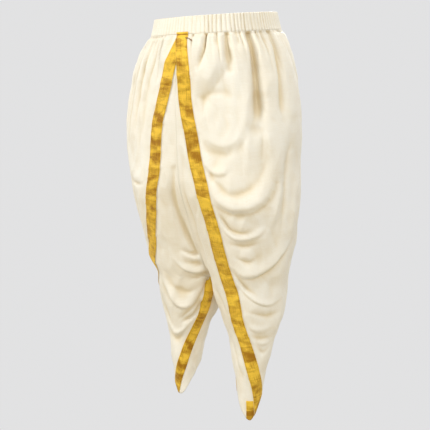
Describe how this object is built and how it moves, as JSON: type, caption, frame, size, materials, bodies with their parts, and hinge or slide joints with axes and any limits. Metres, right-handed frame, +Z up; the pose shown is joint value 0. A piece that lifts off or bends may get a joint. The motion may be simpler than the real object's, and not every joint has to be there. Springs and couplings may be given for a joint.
{
  "type": "dhoti cloth",
  "caption": "Ready-made draped dhoti: two gathered leg drapes in cream silk on an elastic waistband, edged with plain gold tape, kept in the hollow form it has when worn",
  "frame": {"origin": "centre of the waistband, half way up it, where the wearer's waist holds the garment", "axes": "+Z up, the wearer faces -Y, +X towards the wearer's left"},
  "size_m": [0.5029, 0.3225, 1.0057],
  "materials": {
    "cream_silk": "soft satin silk",
    "gold_tape": "metallic tissue tape with fine lengthwise ribs"
  },
  "bodies": {
    "root": {"waistband": "cream_silk", "left_outer_panel": "cream_silk", "right_outer_panel": "cream_silk", "left_inner_panel": "cream_silk", "right_inner_panel": "cream_silk", "left_front_border": "gold_tape", "right_front_border": "gold_tape", "left_lower_border": "gold_tape", "right_lower_border": "gold_tape"}
  },
  "joints": []
}
